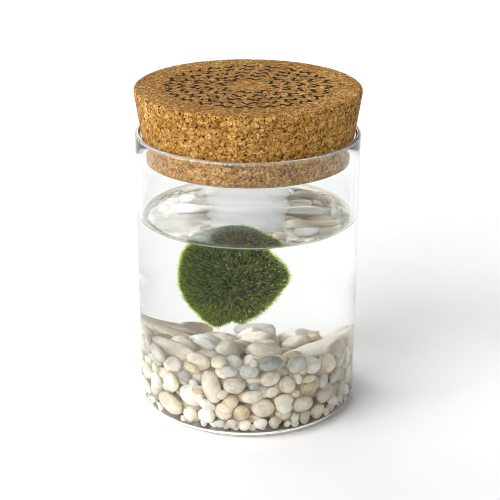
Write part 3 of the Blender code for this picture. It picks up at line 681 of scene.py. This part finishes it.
def filament_mesh(name, moss, count, tufts, gather, tip_depths, thickness, curl, seed):
    """A coat of filaments: each a narrow ribbon that curls and tapers to its tip, in tufts.

    Its tips lie between two depths under the ball's outer form, and tufts differ in height.
    """
    dice = np.random.default_rng(seed)
    roots = even_directions(count, dice)
    tuft_tips = even_directions(tufts, dice)
    finder = KDTree(len(tuft_tips))
    for i, tip in enumerate(tuft_tips):
        finder.insert(tip, i)
    finder.balance()
    nearest = np.array([finder.find(root)[1] for root in roots])
    tips = roots + gather * (tuft_tips[nearest] - roots)
    tips += dice.normal(0, TIP_STRAY, roots.shape)
    tips += dice.normal(0, TUFT_STRAY, tuft_tips.shape)[nearest]
    tips /= np.linalg.norm(tips, axis=1)[:, None]
    centre, outer = node_ball("moss_ball", tips)
    _, inner = node_ball("moss_ball", roots)
    tall = dice.uniform(0, 1, len(tuft_tips))[nearest] ** 0.6
    shallow, deep = tip_depths
    height = tall * dice.uniform(0.6, 1.0, len(roots))
    short = deep + (shallow - deep) * height
    short -= SIDE_TUFT_RISE * np.clip(tips @ np.array(SIDE_TUFT), 0, 1) ** SIDE_TUFT_POWER
    root_points = roots * (inner - moss.fibre)[:, None] + centre
    tip_points = tips * (outer - short)[:, None] + centre
    middle = 0.25 * root_points + 0.75 * tip_points + dice.normal(0, curl, roots.shape)
    along = tip_points - root_points
    side = np.cross(along, dice.normal(0, 1, roots.shape))
    side *= (thickness / 2) / np.linalg.norm(side, axis=1)[:, None]
    points = np.stack([root_points - side, root_points + side, middle - side,
                       middle + side, tip_points], 1)
    corners = points.shape[1]
    first = corners * np.arange(len(roots))[:, None]
    faces = np.concatenate([first + (0, 1, 3), first + (0, 3, 2), first + (2, 3, 4)])
    reach = np.tile((0.0, 0.0, 0.35, 0.35, 1.0), len(roots))
    patches = np.array([0.5 + noise.noise(Vector(root) * MOSS_PATCHES) for root in roots])
    shade = np.repeat(0.35 * patches + 0.25 * dice.uniform(0, 1, len(tuft_tips))[nearest]
                      + 0.40 * dice.uniform(0, 1, len(roots)), corners)
    return mesh_from(name, points.reshape(-1, 3), faces, {"reach": reach, "shade": shade})


def build_moss(moss):
    directions, faces = ball(6)
    centre, reach = node_ball("moss_ball", directions)
    points = directions * (eased(reach, faces, 3) - moss.fibre)[:, None] + centre
    heart = mesh_from("moss_heart", points, faces)
    add_piece("moss_heart", heart, [moss_heart()], "moss", "moss_ball")
    matted = moss_filaments("matted algae filaments", 0.3, MATTED_GREENS)
    turf = filament_mesh("moss_turf", moss, moss.turf, *TURF)
    add_piece("moss_turf", turf, [matted], "moss", "moss_ball")
    loose = moss_filaments("loose algae filaments", 0.85, LOOSE_GREENS)
    fringe = filament_mesh("moss_fringe", moss, moss.fringe, *FRINGE)
    add_piece("moss_fringe", fringe, [loose], "moss", "moss_ball")


def build_bubbles(moss):
    """Air bubbles that hang in the moss ball's filaments, more of them to the right."""
    dice = np.random.default_rng(5)
    directions, faces = ball(2)
    spots = even_directions(moss.bubbles, dice)
    spots = spots[dice.uniform(-0.9, 0.5, len(spots)) < spots[:, 0]]
    centre, reach = node_ball("moss_ball", spots)
    sizes = dice.uniform(0.12, 0.25, len(spots)) * MM
    reach -= dice.uniform(0.3, 1.5, len(spots)) * MM
    points = [spot * far + centre + directions * size
              for spot, far, size in zip(spots, reach, sizes)]
    shifted = [faces + len(directions) * i for i in range(len(spots))]
    mesh = mesh_from("moss_bubbles", np.concatenate(points), np.concatenate(shifted))
    return add_piece("moss_bubbles", mesh, [air_bubble()], "moss")


def pebble_finishes():
    return [washed_pebble(f"{tone} pebble", code, stain)
            for tone, (code, stain, _) in TONES.items()]


def rough_skin(points, centre):
    """Points of a pebble moved in and out a little, as its surface isn't even."""
    wide, narrow = SKIN_BUMPS
    moved = []
    for point in points:
        lift = noise.noise(Vector(point) / wide) + 0.5 * noise.noise(Vector(point) / narrow)
        moved.append(point + (point - centre) * SKIN_HEIGHT * lift)
    return np.array(moved)


def build_front_pebbles(finishes):
    directions, faces = ball(4)
    regrown = 1.01  # easing takes about a hundredth off a form
    for node in sorted(FRONT_PEBBLES):
        name = node.replace("pebble", "stone")
        slot = FINISH_OF_NODE[node]
        tone = TONE_NAMES.index(slot.removesuffix("_pebble"))
        centre, reach = node_ball(node, directions)
        points = directions * eased(reach, faces, 4)[:, None] * regrown + centre
        mesh = mesh_from(name, rough_skin(points, centre), faces)
        add_piece(name, mesh, [finishes[tone]], slot, node)


def turned_about(*steps):
    """A rotation matrix from (axis, degrees) steps, the first applied first."""
    whole = Matrix.Identity(3)
    for axis, degrees in steps:
        whole = Matrix.Rotation(math.radians(degrees), 3, axis) @ whole
    return np.array(whole)


def bed_top(glass, across, deep):
    """Height of the bed's general surface, which falls to the back and climbs at the sides."""
    inner = JAR_HIGH[0] - glass.wall
    side = across / inner
    climb = (BED_CLIMB - BED_CLIMB_LEAN * side) * side ** 2
    return BED_HEIGHT - BED_FALL * (deep + inner) / (2 * inner) + climb


def shape_matrix(half, turn):
    """An ellipsoid of these half sizes, turned, as a matrix of its squared half sizes."""
    return turn @ np.diag(half ** 2) @ turn.T


def fixed_stones():
    """The pebbles against the front glass as (centre, shape matrix)."""
    found = []
    for name in FRONT_PEBBLES:
        points = np.array([vert.co for vert in NODES[name].data.vertices])
        spread = np.cov((points - points.mean(axis=0)).T)
        found.append((points.mean(axis=0), spread * 3.0))  # a ball's skin spreads r ** 2 / 3
    return found


def under_large(x, y, top, large):
    """Whether a small pebble whose top is this high would lie in a larger one on the bed."""
    margin = 1.0 * MM
    for _, centre, half, turn, _ in large:
        along, across, _ = (np.array((x, y, centre[2])) - centre) @ turn
        if (along / (half[0] + margin)) ** 2 + (across / (half[1] + margin)) ** 2 < 1:
            if top > centre[2] - 0.4 * half[2]:
                return True
    return False


def loose_stones(pebbles, glass):
    """The rest of the bed before it settles: tone, centre, half sizes, turn and if it is large."""
    stones = []
    for tone, across, deep, *half, turn, lean in TOP_PEBBLES:
        across, deep, half = across * MM, deep * MM, np.array(half) * MM
        centre = np.array((across, deep, bed_top(glass, across, deep) + 1.0 * MM - half[2]))
        stones.append((tone, centre, half, turned_about(("Y", -lean), ("Z", turn)), True))
    large = list(stones)
    dice = random.Random(23)
    inner = JAR_HIGH[0] - glass.wall
    floor = JAR_LOW[2] + glass.base
    step = pebbles.spacing
    count = int(inner / step) + 1
    rows = range(-count, count + 1)
    layers = range(int((LAYERS_TOP - floor) / (LAYER_STEP * step)) + 1)
    for layer, row, column in itertools.product(layers, rows, rows):
        shift = LAYER_SHIFT * (layer % 2)
        x = (column + 0.5 * (row % 2) + shift + dice.uniform(-STRAY, STRAY)) * step
        y = (row * ROW_STEP + shift + dice.uniform(-STRAY, STRAY)) * step
        long = pebbles.smallest + (pebbles.largest - pebbles.smallest) * dice.random() ** 0.8
        half = np.array((long, long * dice.uniform(0.68, 0.95), long * dice.uniform(0.55, 0.8)))
        z = floor + half[2] + layer * LAYER_STEP * step
        turn = turned_about(("X", dice.uniform(-35, 35)), ("Y", dice.uniform(-35, 35)),
                            ("Z", dice.uniform(0, 180)))
        tone = dice.choices(TONE_NAMES, TONE_SHARES)[0]
        top = z + half[2]
        if math.hypot(x, y) > inner - 0.5 * half[2] or top > bed_top(glass, x, y) + 0.4 * MM:
            continue
        if not under_large(x, y, top, large):
            stones.append((tone, np.array((x, y, z)), half, turn, False))
    return stones


def foot_stones(fixed, glass):
    """Small pebbles in the gaps along the foot, under those at the front glass."""
    dice = random.Random(47)
    corner = JAR_HIGH[0] - glass.foot_round
    overlap = 0.15 * MM  # so little doesn't show
    placed = list(fixed)
    stones = []
    for bearing in np.radians(np.arange(-84, 84, 1.5)):
        long = dice.uniform(1.4, 2.3) * MM
        half = np.array((long, long * dice.uniform(0.75, 0.95), long * dice.uniform(0.6, 0.85)))
        away = corner + dice.uniform(-0.6, 1.2) * MM
        centre = np.array((away * math.sin(bearing), -away * math.cos(bearing),
                           JAR_LOW[2] + glass.base + half[2] + 0.2 * MM))
        way = turned_about(("X", dice.uniform(-20, 20)), ("Z", dice.uniform(0, 180)))
        tone = dice.choices(TONE_NAMES, TONE_SHARES)[0]
        shape = shape_matrix(half, way)
        steps = np.array([other - centre for other, _ in placed])
        others = np.array([other for _, other in placed])
        _, room = parting(steps, np.array([shape] * len(placed)), others)
        if room.min() > -overlap:
            placed.append((centre, shape))
            stones.append((tone, centre, half, way, False))
    return stones


def reach_along(shapes, directions):
    """How far each ellipsoid reaches from its centre along a direction of its own."""
    return np.sqrt(np.einsum("ni,nij,nj->n", directions, shapes, directions))


def parting(step, first, second):
    """Direction that parts two ellipsoids best, and the room left between them along it."""
    size_a = np.ones(len(step))
    size_b = np.ones(len(step))
    for _ in range(3):
        mixed = first / size_a[:, None, None] + second / size_b[:, None, None]
        normal = np.linalg.solve(mixed, step[:, :, None])[:, :, 0]
        normal /= np.linalg.norm(normal, axis=1)[:, None]
        size_a = reach_along(first, normal)
        size_b = reach_along(second, normal)
    return normal, np.einsum("ni,ni->n", step, normal) - size_a - size_b


def settle(centres, shapes, held, pinned, glass):
    """Pushes the loose pebbles clear of each other, the held ones, the glass and the top.

    A pinned one gives way only a little, and is drawn back to where it was.
    """
    inner = JAR_HIGH[0] - glass.wall - 0.1 * MM
    floor = JAR_LOW[2] + glass.base + 0.1 * MM
    sizes = np.sqrt(np.linalg.eigvalsh(shapes)[:, -1])
    down = np.tile((0.0, 0.0, -1.0), (len(centres), 1))
    homes = centres.copy()
    for number in range(SETTLE_ROUNDS):
        if number % 10 == 0:  # the list of neighbours, with room for ten rounds
            gaps = np.linalg.norm(centres[:, None] - centres[None], axis=2)
            near = gaps < sizes[:, None] + sizes[None] + 1.5 * MM
            first, second = np.nonzero(np.triu(near, 1))
            loose = ~(held[first] & held[second])
            first, second = first[loose], second[loose]
        normal, room = parting(centres[second] - centres[first], shapes[first], shapes[second])
        push = normal * np.clip(-room, 0, None)[:, None] * 0.45
        move = np.zeros_like(centres)
        np.add.at(move, second, push)
        np.add.at(move, first, -push)
        move[pinned] *= 0.1
        move[held] = 0
        centres = centres + move
        from_axis = np.hypot(centres[:, 0], centres[:, 1])
        out = centres * (1, 1, 0) / from_axis[:, None]
        over = from_axis + reach_along(shapes, out) - inner
        tall = reach_along(shapes, down)
        under = floor - (centres[:, 2] - tall)
        highest = np.array([bed_top(glass, x, y) for x, y, _ in centres]) + 1.2 * MM
        above = centres[:, 2] + tall - highest
        fix = -out * np.clip(over, 0, None)[:, None]
        fix[:, 2] += np.clip(under, 0, None) - 0.3 * np.clip(above, 0, None)
        fix[pinned] += 0.05 * (homes[pinned] - centres[pinned])
        fix[held] = 0
        centres = centres + fix
    return centres


def pebble_form(directions, half, dice):
    """A tumbled pebble: an ellipsoid with soft facets."""
    facets = np.array([[dice.gauss(0, 1) for _ in range(3)] for _ in range(FACETS)])
    facets /= np.linalg.norm(facets, axis=1)[:, None]
    depths = np.array([dice.uniform(0.72, 1.0) for _ in facets])
    facing = np.clip(directions @ facets.T, 0, None) / depths
    reach = (1 + (facing ** FACET_SHARPNESS).sum(axis=1)) ** (-1 / FACET_SHARPNESS)
    local = directions * reach[:, None]
    return local / np.abs(local).max(axis=0) * half


def build_bed(pebbles, glass, finishes):
    """All pebbles but those at the front glass, settled around these and joined in one mesh."""
    fixed = fixed_stones()
    small = foot_stones(fixed, glass)
    stones = loose_stones(pebbles, glass) + small
    centres = np.array([centre for centre, _ in fixed] + [stone[1] for stone in stones])
    shapes = np.array([shape for _, shape in fixed]
                      + [shape_matrix(half, turn) for _, _, half, turn, _ in stones])
    held = np.arange(len(centres)) < len(fixed)
    held[len(centres) - len(small):] = True
    pinned = np.array([False] * len(fixed) + [stone[4] for stone in stones])
    centres = settle(centres, shapes, held, pinned, glass)[len(fixed):]
    kinds = {large: ball(4 if large else 3) for large in (True, False)}
    dice = random.Random(31)
    points, faces, tones = [], [], []
    start = 0
    for (tone, _, half, turn, large), centre in zip(stones, centres):
        directions, triangles = kinds[large]
        form = pebble_form(directions, half, dice) @ turn.T + centre
        points.append(rough_skin(form, centre))
        faces.append(triangles + start)
        tones.append(np.full(len(triangles), TONE_NAMES.index(tone)))
        start += len(directions)
    mesh = mesh_from("bed_of_pebbles", np.concatenate(points), np.concatenate(faces),
                     tones=np.concatenate(tones))
    return add_piece("bed_of_pebbles", mesh, finishes, "washed_pebbles", "pebble_bed")


def build_floor():
    """White sweep paper: matt and even, out to the horizon."""
    bm = bmesh.new()
    bmesh.ops.create_circle(bm, cap_ends=True, segments=96, radius=40.0)
    bmesh.ops.translate(bm, verts=bm.verts, vec=(0, 0, JAR_LOW[2] - 0.2 * MM))
    finish, tree, shader = new_material("white sweep paper", Roughness=0.9,
                                        Specular_IOR_Level=0.1)
    place = add_node(tree, "TexCoord", {}).outputs["Object"]
    fibre = add_node(tree, "TexNoise", {"Vector": place, "Scale": 1 / (25 * MM), "Detail": 2.0})
    tone = add_node(tree, "ValToRGB", {"Fac": fibre}, stops=((0.0, "#f2f2f2"), (1.0, "#f5f5f5")))
    feed(tree, shader, {"Base Color": tone})
    mesh = finished_mesh("studio_floor", bm)
    floor = bpy.data.objects.new("studio_floor", mesh)
    bpy.context.scene.collection.objects.link(floor)
    mesh.materials.append(finish)


def soft_glow(tree, look, towards, width, strength):
    """Light from a round patch of the sky, whose rim is soft over half its half angle."""
    facing = add_node(tree, "VectorMath", {0: look, 1: Vector(towards).normalized()},
                      operation="DOT_PRODUCT")
    rim = math.cos(math.radians(width * 1.25))
    core = math.cos(math.radians(width * 0.75))
    return add_node(tree, "MapRange", {"Value": facing.outputs["Value"], "From Min": rim,
                                       "From Max": core, "To Max": strength},
                    interpolation_type="SMOOTHSTEP")


def build_world():
    """A white screen low round the horizon under a dimmer sky, with soft lights and one flag."""
    world = bpy.data.worlds.new("studio")
    world.use_nodes = True
    tree = world.node_tree
    bpy.context.scene.world = world
    look = add_node(tree, "TexCoord", {}).outputs["Generated"]
    height = add_node(tree, "SeparateXYZ", {"Vector": look}).outputs["Z"]
    low, high = (math.sin(math.radians(angle)) for angle in SCREEN_EDGE)
    total = add_node(tree, "MapRange", {"Value": height, "From Min": low, "From Max": high,
                                        "To Min": SCREEN_LIGHT, "To Max": SKY_LIGHT},
                     interpolation_type="SMOOTHSTEP")
    for towards, width, strength in STUDIO_LIGHTS:
        glow = soft_glow(tree, look, towards, width, strength)
        total = add_node(tree, "Math", {0: glow, 1: total}, operation="ADD")
    feed(tree, tree.nodes["Background"], {"Color": linear("#ffffff"), "Strength": total})


def deepen_light_paths(cycles):
    """Light goes many times to and fro in the wall of the jar before it comes out of the lip.

    Nothing on its way is blurred or dimmed, and a narrow filter keeps the filaments sharp.
    """
    cycles.max_bounces = cycles.transmission_bounces = cycles.glossy_bounces = 32
    cycles.diffuse_bounces = 12
    cycles.blur_glossy = 0.0
    cycles.sample_clamp_indirect = 0.0
    cycles.filter_width = 1.0


def build_camera(stage):
    data = bpy.data.cameras.new("photo_camera")
    data.sensor_width = 36.0
    data.lens = stage.lens
    camera = bpy.data.objects.new("photo_camera", data)
    bpy.context.scene.collection.objects.link(camera)
    camera.location = stage.eye
    aim = (Vector(stage.aim) - Vector(stage.eye)).to_track_quat("-Z", "Y").to_matrix()
    camera.rotation_euler = (aim @ Matrix.Rotation(stage.roll, 3, "Z")).to_euler()
    bpy.context.scene.camera = camera


class MARIMO_OT_jar(bpy.types.Operator):
    """Build the glass jar"""
    bl_idname = "marimo.jar"
    bl_label = "Glass jar"

    def execute(self, context):
        build_jar(context.scene.marimo_glass, context.scene.marimo_water)
        return {"FINISHED"}


class MARIMO_OT_cork(bpy.types.Operator):
    """Build the cork stopper"""
    bl_idname = "marimo.cork"
    bl_label = "Cork stopper"

    def execute(self, context):
        build_cork(context.scene.marimo_cork)
        return {"FINISHED"}


class MARIMO_OT_water(bpy.types.Operator):
    """Fill the jar with water"""
    bl_idname = "marimo.water"
    bl_label = "Water"

    def execute(self, context):
        build_water(context.scene.marimo_glass, context.scene.marimo_water)
        return {"FINISHED"}


class MARIMO_OT_moss(bpy.types.Operator):
    """Grow the moss ball, with the air bubbles caught in it"""
    bl_idname = "marimo.moss"
    bl_label = "Moss ball"

    def execute(self, context):
        build_moss(context.scene.marimo_moss)
        build_bubbles(context.scene.marimo_moss)
        return {"FINISHED"}


class MARIMO_OT_pebbles(bpy.types.Operator):
    """Lay the pebbles at the front glass and the bed behind them"""
    bl_idname = "marimo.pebbles"
    bl_label = "Pebbles"

    def execute(self, context):
        finishes = pebble_finishes()
        build_front_pebbles(finishes)
        build_bed(context.scene.marimo_pebbles, context.scene.marimo_glass, finishes)
        return {"FINISHED"}


class MARIMO_OT_stage(bpy.types.Operator):
    """Set up the floor, the lights and the camera"""
    bl_idname = "marimo.stage"
    bl_label = "Stage"

    def execute(self, context):
        build_floor()
        build_world()
        build_camera(context.scene.marimo_stage)
        context.scene.view_settings.view_transform = "Standard"
        deepen_light_paths(context.scene.cycles)
        return {"FINISHED"}


class MARIMO_PT_panel(bpy.types.Panel):
    """Lists the pieces of the jar and the stage"""
    bl_label = "Marimo jar"
    bl_idname = "MARIMO_PT_panel"
    bl_space_type = "VIEW_3D"
    bl_region_type = "UI"
    bl_category = "Marimo"

    def draw(self, context):
        for group, _, operator in GROUPS:
            box = self.layout.box()
            settings = getattr(context.scene, group)
            for name in settings.bl_rna.properties.keys():
                if name not in ("rna_type", "name"):
                    box.prop(settings, name)
            box.operator(operator.bl_idname)


# Name of each group of settings, its class, and the operator that builds with it
GROUPS = (
    ("marimo_glass", MarimoGlass, MARIMO_OT_jar),
    ("marimo_cork", MarimoCork, MARIMO_OT_cork),
    ("marimo_water", MarimoWater, MARIMO_OT_water),
    ("marimo_moss", MarimoMoss, MARIMO_OT_moss),
    ("marimo_pebbles", MarimoPebbles, MARIMO_OT_pebbles),
    ("marimo_stage", MarimoStage, MARIMO_OT_stage),
)


def register():
    for name, group, operator in GROUPS:
        bpy.utils.register_class(group)
        bpy.utils.register_class(operator)
        setattr(bpy.types.Scene, name, PointerProperty(type=group))
    bpy.utils.register_class(MARIMO_PT_panel)


def unregister():
    bpy.utils.unregister_class(MARIMO_PT_panel)
    for name, group, operator in reversed(GROUPS):
        delattr(bpy.types.Scene, name)
        bpy.utils.unregister_class(operator)
        bpy.utils.unregister_class(group)


def main():
    register()
    bpy.ops.marimo.jar()
    bpy.ops.marimo.cork()
    bpy.ops.marimo.water()
    bpy.ops.marimo.moss()
    bpy.ops.marimo.pebbles()
    bpy.ops.marimo.stage()


if __name__ == "__main__":
    main()
